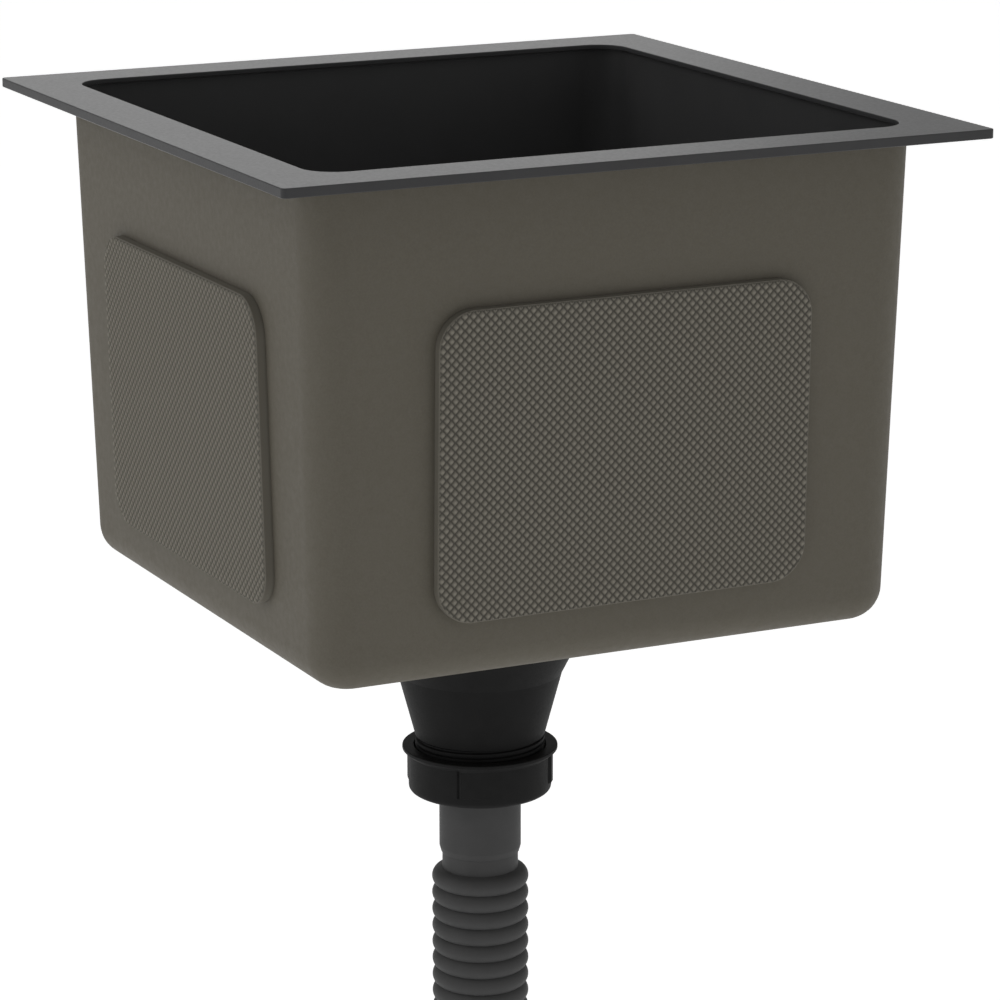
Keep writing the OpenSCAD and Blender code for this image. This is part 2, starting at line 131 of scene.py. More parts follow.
# Coupling nut, tailpiece, hose and spigot
NUT_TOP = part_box("coupling_nut")[1].z
NUT_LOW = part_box("coupling_nut")[0].z
NUT_FLANGE_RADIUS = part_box("coupling_nut")[1].x
NUT_FLANGE = 1.4 * MM
NUT_CONE = 2.1 * MM
NUT_RADIUS = 30 * MM
NUT_BORE = 27.6 * MM
NUT_LIP = 3 * MM
NUT_FIT = 0.6 * MM
NUT_EDGE = 2.1 * MM
LUG_RISE = 0.9 * MM
LUG_GROOVE = 0.5 * MM
LUG_HEIGHT = 13.9 * MM
LUG_FOOT = 0.4 * MM
LUG_COUNT = 4
LUG_START = math.radians(-132)
LUG_ARC = math.radians(24)
LUG_FULL = math.radians(8)
LUG_RAMP = math.radians(1.2)
CUFF_RADIUS = 17.2 * MM
CUFF_CHAMFER = 2.6 * MM
CUFF_MOUTH = 0.5 * MM
CUFF_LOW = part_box("hose_tailpiece")[0].z
TAIL_FLANGE = 3 * MM
TAIL_FLANGE_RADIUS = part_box("hose_tailpiece")[1].x
TAIL_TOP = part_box("hose_tailpiece")[1].z
HOSE_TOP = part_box("corrugated_hose")[1].z
HOSE_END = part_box("corrugated_hose")[0].z
NECK_RADIUS = 16 * MM
NECK_SHOW = 7.2 * MM
HOSE_WALL = 1.2 * MM
HOSE_FIT = 0.2 * MM
HOSE_END_GAP = 0.4 * MM
RIB_RADIUS = 20.4 * MM
RIB_VALLEY = 18.2 * MM
RIB_PITCH = 7.35 * MM
RIB_COUNT = 34
BULGE = ((RIB_PITCH / 2) ** 2 + (RIB_RADIUS - RIB_VALLEY) ** 2) / (2 * (RIB_RADIUS - RIB_VALLEY))
SPIGOT_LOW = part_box("outlet_spigot")[0].z
SPIGOT_RADIUS = 20 * MM
SPIGOT_WALL = 3 * MM
SPIGOT_SOCKET = 17.5 * MM
SPIGOT_COLLAR = 3 * MM
SPIGOT_CHAMFER = 2.2 * MM
SPIGOT_TAPER = 1.2 * MM

# Painted shade of a pad, as a place on its colour's ramp: round its weave, on its rounded edge, on its
# side and at its foot, darkest at the foot against the wall
WEAVE_END_SHADE, EDGE_SHADE, SIDE_SHADE, FOOT_SHADE = 0.45, 0.5, 0.58, 0.3

# Floor, which lies further below the hose's end than the hose drops
FLOOR_DROP = 16 * MM
FLOOR_HALF = 14

# Fineness: points along or round a shape, and steps of an arc
CORNER_STEPS = 8
SIDE_STEPS = 24
RING_POINTS = 4 * (CORNER_STEPS + SIDE_STEPS)
TURN_POINTS = 120
FILLET_STEPS = 4
BEND_STEPS = 12
RIB_STEPS = 12
HOSE_POINTS = 64


def make_camera():
    """Camera at the photograph's angle, height and distance."""
    camera = bpy.data.objects.new("camera", bpy.data.cameras.new("camera"))
    camera.data.lens = 148.88
    camera.data.sensor_width = 36
    camera.location = (-0.71967, -1.49197, 0.26031)
    aim = Euler((math.radians(90 - 14.2985), 0, math.radians(-26.047))).to_matrix()
    camera.rotation_euler = (aim @ Matrix.Rotation(math.radians(-0.0711), 3, "Z")).to_euler()
    bpy.context.scene.collection.objects.link(camera)
    bpy.context.scene.camera = camera
    bpy.context.scene.view_settings.view_transform = "Standard"


def add(tree, kind, inputs=None, **settings):
    """Adds a node. Inputs are numbers, vectors, materials or other nodes' outputs."""
    node = tree.nodes.new(kind)
    for name, value in settings.items():
        setattr(node, name, value)
    for key, value in (inputs or {}).items():
        if isinstance(value, bpy.types.NodeSocket):
            tree.links.new(value, node.inputs[key])
        else:
            node.inputs[key].default_value = value
    return node


def number(tree, operation, first, second=0.0):
    """Output of a Math node."""
    return add(tree, "ShaderNodeMath", {0: first, 1: second}, operation=operation).outputs[0]


def vector(tree, operation, first, second=(0, 0, 0)):
    """Output of a Vector Math node."""
    return add(tree, "ShaderNodeVectorMath", {0: first, 1: second}, operation=operation).outputs[0]


def noise(tree, place, size, detail=2.0):
    """Noise whose grains are about size across."""
    made = add(tree, "ShaderNodeTexNoise", {"Vector": place, "Scale": 1 / size, "Detail": detail})
    return made.outputs[0]


def spread(tree, value, low, high, start=0.3, end=0.7):
    """Maps a value between start and end to the range from low to high."""
    sockets = {"Value": value, "From Min": start, "From Max": end, "To Min": low, "To Max": high}
    return add(tree, "ShaderNodeMapRange", sockets).outputs[0]


def surface(name, colour, drift, patch, gloss, grain, rise, stretch=(1, 1, 1), painted_hollow_shade=None, **sockets):
    """Finish whose colour drifts over patches, with uneven gloss and a fine raised grain.

    The hollow shade is the share of the colour that is left at the bottom of a relief, as
    painted shade in its hollows; the tops get 1.22 of the colour, as painted light. The mesh
    gives the relief as a vertex attribute, from 0 at the bottom to 1 at the top. The drift adds
    half of itself to that height on average, so the colour's stops stand higher by as much.
    """
    material = bpy.data.materials.new(name)
    material.use_nodes = True
    tree = material.node_tree
    shader = tree.nodes["Principled BSDF"]
    for socket, value in sockets.items():
        shader.inputs[socket.replace("_", " ")].default_value = value
    place = add(tree, "ShaderNodeTexCoord").outputs["Object"]
    place = vector(tree, "MULTIPLY", place, stretch)
    tone = noise(tree, place, patch, 4)
    stops = ((0.3, 1 - drift), (0.7, 1 + drift))
    if painted_hollow_shade is not None:
        # Painted shade and light: the colour darkens towards the relief's hollows and brightens on its
        # tops
        relief_shade = add(tree, "ShaderNodeAttribute", attribute_name="relief_shade").outputs["Fac"]
        tone = number(tree, "ADD", relief_shade, number(tree, "MULTIPLY", tone, drift))
        painted_shades = ((0, painted_hollow_shade), (0.6, 0.88), (1, 1.22))
        stops = [(height + 0.5 * drift, share) for height, share in painted_shades]
    ramp = add(tree, "ShaderNodeValToRGB", {"Fac": tone})
    for _ in stops[2:]:
        ramp.color_ramp.elements.new(1)
    for stop, (position, share) in zip(ramp.color_ramp.elements, stops):
        stop.position = position
        stop.color = (*(channel * share for channel in colour), 1)
    tree.links.new(ramp.outputs["Color"], shader.inputs["Base Color"])
    fine = noise(tree, place, grain, 3)
    low, high = gloss
    tree.links.new(spread(tree, noise(tree, place, 4 * grain), low, high), shader.inputs["Roughness"])
    bump = add(tree, "ShaderNodeBump", {"Height": fine, "Distance": rise, "Strength": 1.0})
    tree.links.new(bump.outputs["Normal"], shader.inputs["Normal"])
    return material


SATIN_COAT = surface("satin_black_coat", (0.055, 0.055, 0.0555), 0.06, 30 * MM, (0.28, 0.33),
                     0.35 * MM, 0.005 * MM, Specular_IOR_Level=0.27)
CUT_EDGE = surface("coated_cut_edge", (0.042, 0.042, 0.043), 0.06, 12 * MM, (0.46, 0.52),
                   0.3 * MM, 0.02 * MM, Specular_IOR_Level=0.25)
UNDERCOAT = surface("sprayed_undercoat", (0.1125, 0.1015, 0.0785), 0.05, 0.8 * MM, (0.62, 0.74),
                    0.7 * MM, 0.03 * MM, Specular_IOR_Level=0.35)
# Pad rubber whose colour carries painted shade in the weave's hollows and at the pad's foot, and
# painted light on the domes
PAD_RUBBER = surface("embossed_pad_rubber_painted_shade", (0.197, 0.183, 0.15), 0.06, 1.2 * MM, (0.68, 0.8),
                     0.3 * MM, 0.02 * MM, painted_hollow_shade=0.36, Specular_IOR_Level=0.3)
WASTE_PLASTIC = surface("black_waste_plastic", (0.012, 0.012, 0.012), 0.08, 8 * MM, (0.52, 0.62),
                        0.25 * MM, 0.01 * MM, Specular_IOR_Level=0.07)
# The nut's copy of the black plastic is a little lighter: painted light that makes up for the shade
# under the bowl
NUT_PLASTIC_LIGHTENED = surface("black_nut_plastic_lightened", (0.0155, 0.0155, 0.0155), 0.08, 6 * MM, (0.52, 0.62),
                      0.25 * MM, 0.01 * MM, Specular_IOR_Level=0.07)
HOSE_PLASTIC = surface("grey_hose_plastic", (0.073, 0.073, 0.073), 0.05, 10 * MM, (0.5, 0.6),
                       0.3 * MM, 0.01 * MM, Specular_IOR_Level=0.07)
SEAL_RUBBER = surface("seal_rubber", (0.02, 0.02, 0.02), 0.1, 5 * MM, (0.7, 0.85),
                      0.2 * MM, 0.01 * MM)
TURNED_STEEL = surface("turned_steel", (0.56, 0.56, 0.57), 0.04, 6 * MM, (0.2, 0.3), 0.4 * MM,
                       0.004 * MM, stretch=(0.2, 0.2, 3), Metallic=1.0)
TURNED_BRASS = surface("turned_brass", (0.6, 0.43, 0.18), 0.06, 6 * MM, (0.25, 0.36), 0.4 * MM,
                       0.004 * MM, stretch=(0.2, 0.2, 3), Metallic=1.0)


def linked(name, mesh):
    """New object of the scene that holds a mesh."""
    piece = bpy.data.objects.new(name, mesh)
    bpy.context.scene.collection.objects.link(piece)
    return piece


def settle(mesh, crease=35):
    """Welds a mesh, points its faces outwards and shades it smooth up to a crease."""
    work = bmesh.new()
    work.from_mesh(mesh)
    bmesh.ops.remove_doubles(work, verts=work.verts, dist=0.002 * MM)
    bmesh.ops.dissolve_degenerate(work, edges=work.edges, dist=0.001 * MM)
    bmesh.ops.recalc_face_normals(work, faces=work.faces)
    work.to_mesh(mesh)
    work.free()
    mesh.shade_smooth()
    mesh.set_sharp_from_angle(angle=math.radians(crease))


def piece_from(name, points, faces, crease=35):
    """Piece made of points and faces, welded and evenly shaded."""
    mesh = bpy.data.meshes.new(name)
    mesh.from_pydata(points, [], faces)
    settle(mesh, crease)
    piece = linked(name, mesh)
    shading = piece.modifiers.new("even_shading", "WEIGHTED_NORMAL")
    shading.keep_sharp = True
    return piece


def ring_faces(rings, closed, first=0):
    """Faces between neighbouring rings of equally many points, counted from first."""
    count = len(rings[0])
    faces = []
    for low in range(len(rings) if closed else len(rings) - 1):
        high = (low + 1) % len(rings)
        for step in range(count):
            after = (step + 1) % count
            corners = ((low, step), (low, after), (high, after), (high, step))
            faces.append([first + ring * count + point for ring, point in corners])
    return faces


def square_ring(half, corner, height):
    """Rounded square, anticlockwise from the start of the corner between +X and +Y."""
    ring = []
    middle = half - corner
    for turn in range(4):
        spin = Matrix.Rotation(turn * math.pi / 2, 2)
        for step in range(CORNER_STEPS):
            angle = step / CORNER_STEPS * math.pi / 2
            bend = Vector((middle + corner * math.cos(angle), middle + corner * math.sin(angle)))
            ring.append((*(spin @ bend), height))
        for step in range(SIDE_STEPS):
            along = Vector((middle - 2 * middle * step / SIDE_STEPS, half))
            ring.append((*(spin @ along), height))
    return ring


def matched_circle(radius):
    """Flat circle with as many points as a rounded square, its corners on the diagonals."""
    turns = [(step - CORNER_STEPS / 2) / RING_POINTS + 1 / 8 for step in range(RING_POINTS)]
    return [(radius * math.cos(FULL_TURN * t), radius * math.sin(FULL_TURN * t)) for t in turns]


def quarter(radius, steps=FILLET_STEPS):
    """Quarter arc as pairs that go from (radius, 0) to (0, radius)."""
    angles = [step / steps * math.pi / 2 for step in range(steps + 1)]
    return [(radius * (1 - math.sin(a)), radius * (1 - math.cos(a))) for a in angles]


def rounded(corners):
    """Closed outline through (radius, height, fillet) corners, with each fillet as an arc.

    A fillet that has no room is made smaller, so that it takes less than half of each side.
    """
    outline = []
    for index, (x, y, fillet) in enumerate(corners):
        here = Vector((x, y))
        back = Vector(corners[index - 1][:2]) - here
        ahead = Vector(corners[(index + 1) % len(corners)][:2]) - here
        if not fillet:
            outline.append((x, y))
            continue
        half = back.angle(ahead) / 2
        reach = min(fillet / math.tan(half), 0.49 * back.length, 0.49 * ahead.length)
        fillet = reach * math.tan(half)
        inwards = (back.normalized() + ahead.normalized()).normalized()
        middle = here + inwards * (fillet / math.sin(half))
        start = here + back.normalized() * reach - middle
        end = here + ahead.normalized() * reach - middle
        sweep = math.atan2(start.x * end.y - start.y * end.x, start.dot(end))
        for step in range(FILLET_STEPS + 1):
            arm = Matrix.Rotation(sweep * step / FILLET_STEPS, 2) @ start
            outline.append((middle.x + arm.x, middle.y + arm.y))
    return outline


def turned_rings(outline):
    """One ring round the Z axis for each (radius, height) pair of an outline."""
    angles = [FULL_TURN * step / TURN_POINTS for step in range(TURN_POINTS)]
    return [[(r * math.cos(a), r * math.sin(a), z) for a in angles] for r, z in outline]


def turned(name, corners):
    """Ring-shaped piece turned from a closed outline with fillets."""
    rings = turned_rings(rounded(corners))
    return piece_from(name, [point for ring in rings for point in ring], ring_faces(rings, True))


def place(piece, body, slot, material, *nodes):
    """Gives a piece its material, its body and the solids that it stands for."""
    if material:
        piece.data.materials.clear()
        piece.data.materials.append(material)
    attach(piece, body)
    if nodes:
        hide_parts(*nodes)
    return piece


def geometry_tree(name, sizes, counts):
    """Geometry Nodes tree with named number inputs; gives the tree and the inputs' outputs."""
    tree = bpy.data.node_groups.new(name, "GeometryNodeTree")
    tree.interface.new_socket("Geometry", in_out="OUTPUT", socket_type="NodeSocketGeometry")
    for label in sizes:
        tree.interface.new_socket(label, in_out="INPUT", socket_type="NodeSocketFloat")
    for label in counts:
        tree.interface.new_socket(label, in_out="INPUT", socket_type="NodeSocketInt")
    return tree, tree.nodes.new("NodeGroupInput").outputs


def close_tree(tree, geometry, material):
    """Ends a tree in Realize Instances and Set Material."""
    real = add(tree, "GeometryNodeRealizeInstances", {0: geometry})
    painted = add(tree, "GeometryNodeSetMaterial", {0: real.outputs[0], "Material": material})
    add(tree, "NodeGroupOutput", {0: painted.outputs[0]})


def grown(name, tree, values):
    """Plain mesh that a tree gives for the named values."""
    carrier = linked(name, bpy.data.meshes.new(name))
    modifier = carrier.modifiers.new(name, "NODES")
    modifier.node_group = tree
    for item in tree.interface.items_tree:
        if item.in_out == "INPUT":
            modifier[item.identifier] = values[item.name]
    bpy.context.view_layer.update()
    evaluated = carrier.evaluated_get(bpy.context.evaluated_depsgraph_get())
    mesh = bpy.data.meshes.new_from_object(evaluated)
    bpy.data.objects.remove(carrier)
    return mesh


def hose_tree():
    """Skin of a ribbed hose: a grid rolled round the Z axis, with a round bulge at each rib."""
    sizes = ("Top", "Row Step", "First Rib", "Pitch", "Rib Radius", "Bulge", "Neck Radius")
    tree, given = geometry_tree("ribbed_hose", sizes, ("Rows", "Points", "Ribs"))
    grid = add(tree, "GeometryNodeMeshGrid", {
        "Size X": 1.0, "Size Y": 1.0, "Vertices X": given["Points"], "Vertices Y": given["Rows"]})
    spot = add(tree, "GeometryNodeInputPosition").outputs[0]
    split = add(tree, "ShaderNodeSeparateXYZ", {0: spot})
    angle = number(tree, "MULTIPLY", split.outputs["X"], FULL_TURN)
    row = number(tree, "MULTIPLY", number(tree, "ADD", split.outputs["Y"], 0.5),
                 number(tree, "SUBTRACT", given["Rows"], 1.0))
    depth = number(tree, "MULTIPLY", number(tree, "ROUND", row), given["Row Step"])
    past = number(tree, "SUBTRACT", depth, given["First Rib"])
    rib = number(tree, "ROUND", number(tree, "DIVIDE", past, given["Pitch"]))
    rib = number(tree, "MINIMUM", number(tree, "MAXIMUM", rib, 0.0),
                 number(tree, "SUBTRACT", given["Ribs"], 1.0))
    off = number(tree, "SUBTRACT", past, number(tree, "MULTIPLY", rib, given["Pitch"]))
    room = number(tree, "SUBTRACT", number(tree, "MULTIPLY", given["Bulge"], given["Bulge"]),
                  number(tree, "MULTIPLY", off, off))
    swell = number(tree, "SQRT", number(tree, "MAXIMUM", room, 0.0))
    centre = number(tree, "SUBTRACT", given["Rib Radius"], given["Bulge"])
    inside = number(tree, "GREATER_THAN", room, 0.0)
    bulged = number(tree, "MULTIPLY", number(tree, "ADD", centre, swell), inside)
    radius = number(tree, "MAXIMUM", bulged, given["Neck Radius"])
    spun = add(tree, "ShaderNodeCombineXYZ", {
        "X": number(tree, "MULTIPLY", radius, number(tree, "COSINE", angle)),
        "Y": number(tree, "MULTIPLY", radius, number(tree, "SINE", angle)),
        "Z": number(tree, "SUBTRACT", given["Top"], depth)})
    rolled = add(tree, "GeometryNodeSetPosition", {0: grid.outputs[0], "Position": spun.outputs[0]})
    joined = add(tree, "GeometryNodeMergeByDistance", {0: rolled.outputs[0], "Distance": 0.01 * MM})
    close_tree(tree, joined.outputs[0], HOSE_PLASTIC)
    return tree


def make_hose():
    """Ribbed hose with its necks pushed into the cuff above and the spigot below."""
    first_rib = HOSE_TOP - (CUFF_LOW - NECK_SHOW - BULGE)
    step = RIB_PITCH / RIB_STEPS
    lead = (first_rib + RIB_PITCH / 2) % step
    rows = int((HOSE_TOP - lead - HOSE_END) / step) + 1
    mesh = grown("hose_skin", hose_tree(), {
        "Top": HOSE_TOP - lead, "Row Step": step, "First Rib": first_rib - lead, "Pitch": RIB_PITCH,
        "Rib Radius": RIB_RADIUS, "Bulge": BULGE, "Neck Radius": NECK_RADIUS,
        "Rows": rows, "Points": HOSE_POINTS + 1, "Ribs": RIB_COUNT})
    settle(mesh, 50)
    hose = linked("ribbed_hose", mesh)
    wall = hose.modifiers.new("wall", "SOLIDIFY")
    wall.thickness = HOSE_WALL
    wall.offset = -1
    return place(hose, "drain_hose", "hose_plastic", HOSE_PLASTIC, "corrugated_hose")


def make_tailpiece():
    """Flanged sleeve that the nut holds against the outlet, with a chamfered end."""
    bore = NECK_RADIUS - HOSE_WALL
    shoulder = HOSE_TOP + HOSE_END_GAP
    flange_low = TAIL_TOP - TAIL_FLANGE
    cuff = turned("hose_cuff", [
        (bore, TAIL_TOP, 0.4 * MM),
        (bore, shoulder, 0),
        (NECK_RADIUS + HOSE_FIT, shoulder, 0),
        (NECK_RADIUS + HOSE_FIT, CUFF_LOW, 0.1 * MM),
        (NECK_RADIUS + CUFF_MOUTH, CUFF_LOW, 0.3 * MM),
        (CUFF_RADIUS, CUFF_LOW + CUFF_CHAMFER, 0.8 * MM),
        (CUFF_RADIUS, flange_low, 0.6 * MM),
        (TAIL_FLANGE_RADIUS, flange_low, 0.4 * MM),
        (TAIL_FLANGE_RADIUS, TAIL_TOP, 0.4 * MM),
    ])
    return place(cuff, "drain_hose", "hose_plastic", HOSE_PLASTIC, "hose_tailpiece")


def make_spigot():
    """Push-fit end: socket for the hose's neck, stop collar and chamfered spigot."""
    socket_top = HOSE_END + SPIGOT_SOCKET
    collar_top = HOSE_END - HOSE_FIT
    collar_low = collar_top - SPIGOT_COLLAR
    socket_radius = NECK_RADIUS + SPIGOT_WALL
    collar_radius = SPIGOT_RADIUS + SPIGOT_COLLAR
    bore = NECK_RADIUS - HOSE_WALL
    spigot = turned("hose_spigot", [
        (NECK_RADIUS + HOSE_FIT, socket_top, 0.5 * MM),
        (NECK_RADIUS + HOSE_FIT, collar_top, 0),
        (bore, collar_top, 0),
        (bore, SPIGOT_LOW, 0.6 * MM),
        (SPIGOT_RADIUS - SPIGOT_TAPER, SPIGOT_LOW, 0.4 * MM),
        (SPIGOT_RADIUS, SPIGOT_LOW + SPIGOT_CHAMFER, 0.8 * MM),
        (SPIGOT_RADIUS, collar_low, 0.8 * MM),
        (collar_radius, collar_low, 0.7 * MM),
        (collar_radius, collar_top, 0.7 * MM),
        (socket_radius, collar_top, 0.8 * MM),
        (socket_radius, socket_top, 0.7 * MM),
    ])
    return place(spigot, "drain_hose", "waste_plastic", WASTE_PLASTIC, "outlet_spigot")


def make_rim():
    """Flat plate with broken edges; its lip stands over the bowl's wall round the opening."""
    seat_half = BOWL_HALF + SHEET + RIM_FIT
    seat_corner = BOWL_CORNER + SHEET + RIM_FIT
    broken = quarter(RIM_EDGE)
    rings = [square_ring(RIM_HALF - inset, RIM_CORNER - inset, rise) for inset, rise in broken]
    rings += [square_ring(RIM_HALF - inset, RIM_CORNER - inset, RIM_TOP - rise)
              for inset, rise in reversed(broken)]
    rings += [square_ring(OPENING_HALF + inset, OPENING_CORNER + inset, RIM_TOP - rise)
              for inset, rise in broken]
    rings += [square_ring(OPENING_HALF + inset, OPENING_CORNER + inset, RIM_TOP - RIM_LIP + rise)
              for inset, rise in reversed(quarter(LIP_EDGE, 2))]
    rings += [square_ring(seat_half, seat_corner, height) for height in (RIM_TOP - RIM_LIP, 0)]
    points = [point for ring in rings for point in ring]
    rim = piece_from("rim", points, ring_faces(rings, True))
    rim.data.materials.append(SATIN_COAT)
    rim.data.materials.append(CUT_EDGE)
    for face in rim.data.polygons:
        face.material_index = 1 if abs(face.normal.z) < 0.3 else 0
    return place(rim, "sink", "rim_steel", None, "rim_plate")


def bowl_skin(offset):
    """Rings of one skin of the bowl from under the rim's lip down to the drain hole."""
    half = BOWL_HALF + offset
    corner = BOWL_CORNER + offset
    floor = FLOOR_Z - offset
    fillet = FLOOR_FILLET + offset
    bend_z = floor + fillet
    bend_half = half + math.tan(DRAFT) * bend_z - fillet / math.cos(DRAFT)
    top = RIM_TOP - RIM_LIP - LIP_GAP
    foot = bend_z - fillet * math.sin(DRAFT)
    rings = []
    for share in (0, 0.01, 0.3, 0.65, 0.99):
        height = top + share * (foot - top)
        rings.append(square_ring(half + math.tan(DRAFT) * height, corner, height))
    for step in range(BEND_STEPS + 1):
        angle = DRAFT + (math.pi / 2 - DRAFT) * step / BEND_STEPS
        draw = fillet * math.cos(angle)
        height = bend_z - fillet * math.sin(angle)
        rings.append(square_ring(bend_half + draw, corner - fillet + draw, height))
    edge = rings[-1]
    seat = SEAT_Z - offset
    lip = SEAT_RADIUS + SEAT_FLARE + offset

    def sloped(x, y):
        """Height of the floor, which falls in four creased planes."""
        return floor - FLOOR_FALL * (1 - max(abs(x), abs(y)) / bend_half)

    for share in (0.02, 0.35, 0.7, 1):
        ring = []
        for (x, y, _), (u, v) in zip(edge, matched_circle(lip + SEAT_MARGIN)):
            x, y = x + (u - x) * share, y + (v - y) * share
            ring.append((x, y, sloped(x, y)))
        rings.append(ring)
    # Rounded step down to the seat, with its drops and rises in millimetres
    wall = SEAT_RADIUS + offset
    for radius, drop in ((lip, 0.15), (lip - 0.45 * MM, 0.6), (wall + 0.3 * MM, 2.3)):
        rings.append([(x, y, sloped(x, y) - drop * MM) for x, y in matched_circle(radius)])
    for radius, rise in ((wall - 0.4 * MM, 0.15), (wall - 1.4 * MM, 0), (DRAIN_RADIUS, 0)):
        rings.append([(x, y, seat + rise * MM) for x, y in matched_circle(radius)])
    return rings


def make_bowl():
    """Drawn bowl: satin inside and sprayed outside, with a creased floor and a drain seat."""
    inner = bowl_skin(0)
    outer = bowl_skin(SHEET)
    rings = inner + outer[::-1]
    points = [point for ring in rings for point in ring]
    bowl = piece_from("bowl", points, ring_faces(rings, True), crease=50)
    bowl.data.materials.append(SATIN_COAT)
    bowl.data.materials.append(UNDERCOAT)
    return place(bowl, "sink", "bowl_steel", None, "bowl_shell")


def paint_outside(bowl):
    """Gives the outer skin the undercoat: its faces point away from the bowl's inside."""
    heart = Vector((0, 0, FLOOR_Z / 2))
    for face in bowl.data.polygons:
        face.material_index = 1 if (face.center - heart).dot(face.normal) > 0 else 0


def weave_tree():
    """Embossed skin of a pad: a slanted lattice of domes trimmed to a rounded rectangle."""
    sizes = ("Width", "Length", "Corner", "Pitch", "Depth", "Fade")
    tree, given = geometry_tree("diamond_weave", sizes, ("Cells",))
    cell = add(tree, "GeometryNodeMeshGrid", {
        "Size X": given["Pitch"], "Size Y": given["Pitch"],
        "Vertices X": DOME_POINTS, "Vertices Y": DOME_POINTS})
    spot = add(tree, "GeometryNodeInputPosition").outputs[0]
    local = add(tree, "ShaderNodeSeparateXYZ", {0: spot})
    waves = []
    for side in ("X", "Y"):
        turn = number(tree, "MULTIPLY", local.outputs[side], math.pi)
        waves.append(number(tree, "COSINE", number(tree, "DIVIDE", turn, given["Pitch"])))
    crest = number(tree, "MAXIMUM", number(tree, "MULTIPLY", *waves), 0.0)
    rise = number(tree, "MULTIPLY", given["Depth"], number(tree, "POWER", crest, DOME_POWER))
    lift = add(tree, "ShaderNodeCombineXYZ", {"Z": rise})
    dome = add(tree, "GeometryNodeSetPosition", {0: cell.outputs[0], "Offset": lift.outputs[0]})

    reach = number(tree, "MULTIPLY", given["Pitch"], given["Cells"])
    count = number(tree, "ADD", given["Cells"], 1.0)
    lattice = add(tree, "GeometryNodeMeshGrid", {
        "Size X": reach, "Size Y": reach, "Vertices X": count, "Vertices Y": count})
    slant = (0, 0, math.pi / 4)
    lattice = add(tree, "GeometryNodeTransform", {0: lattice.outputs[0], "Rotation": slant})

    halves = {}
    for axis, side in (("X", "Width"), ("Y", "Length")):
        half = number(tree, "MULTIPLY", given[side], 0.5)
        halves[axis] = number(tree, "SUBTRACT", half, given["Corner"])
    core = add(tree, "ShaderNodeCombineXYZ", halves)
    flat = vector(tree, "MULTIPLY", spot, (1, 1, 0))
    low = vector(tree, "MULTIPLY", core.outputs[0], (-1, -1, -1))
    nearest = vector(tree, "MINIMUM", vector(tree, "MAXIMUM", flat, low), core.outputs[0])
    arm = vector(tree, "SUBTRACT", flat, nearest)
    away = add(tree, "ShaderNodeVectorMath", {0: arm}, operation="LENGTH").outputs["Value"]
    margin = number(tree, "SUBTRACT", away, given["Corner"])

    far = number(tree, "GREATER_THAN", margin, given["Pitch"])
    kept = add(tree, "GeometryNodeDeleteGeometry", {0: lattice.outputs[0], "Selection": far},
               domain="POINT")
    copies = add(tree, "GeometryNodeInstanceOnPoints", {
        0: kept.outputs[0], "Instance": dome.outputs[0], "Rotation": slant})
    real = add(tree, "GeometryNodeRealizeInstances", {0: copies.outputs[0]})
    welded = add(tree, "GeometryNodeMergeByDistance", {0: real.outputs[0], "Distance": 0.05 * MM})
    past = add(tree, "FunctionNodeCompare", {0: margin, 1: 0.0}, operation="GREATER_EQUAL").outputs[0]
    outside = add(tree, "GeometryNodeFieldOnDomain", {0: past}, data_type="BOOLEAN", domain="POINT")
    trimmed = add(tree, "GeometryNodeDeleteGeometry", {
        0: welded.outputs[0], "Selection": outside.outputs[0]}, domain="FACE")
    share = number(tree, "MINIMUM", number(tree, "DIVIDE", given["Corner"], away), 1.0)
    pulled = add(tree, "ShaderNodeVectorMath", {0: arm, "Scale": share}, operation="SCALE").outputs[0]
    depth = add(tree, "ShaderNodeSeparateXYZ", {0: spot}).outputs["Z"]
    fade = number(tree, "DIVIDE", number(tree, "MULTIPLY", margin, -1.0), given["Fade"])
    fade = number(tree, "MINIMUM", number(tree, "MAXIMUM", fade, 0.0), 1.0)
    level = add(tree, "ShaderNodeCombineXYZ", {"Z": number(tree, "MULTIPLY", depth, fade)})
    target = vector(tree, "ADD", vector(tree, "ADD", nearest, pulled), level.outputs[0])
    shaped = add(tree, "GeometryNodeSetPosition", {0: trimmed.outputs[0], "Position": target})
    close_tree(tree, shaped.outputs[0], PAD_RUBBER)
    return tree


def boundary(work):
    """Points along the one open edge of a skin, in their order round it."""
    after = {}
    for edge in work.edges:
        if edge.is_boundary:
            corner = edge.link_loops[0]
            after[corner.vert] = corner.link_loop_next.vert
    ring = [next(iter(after))]
    while after[ring[-1]] != ring[0]:
        ring.append(after[ring[-1]])
    return ring


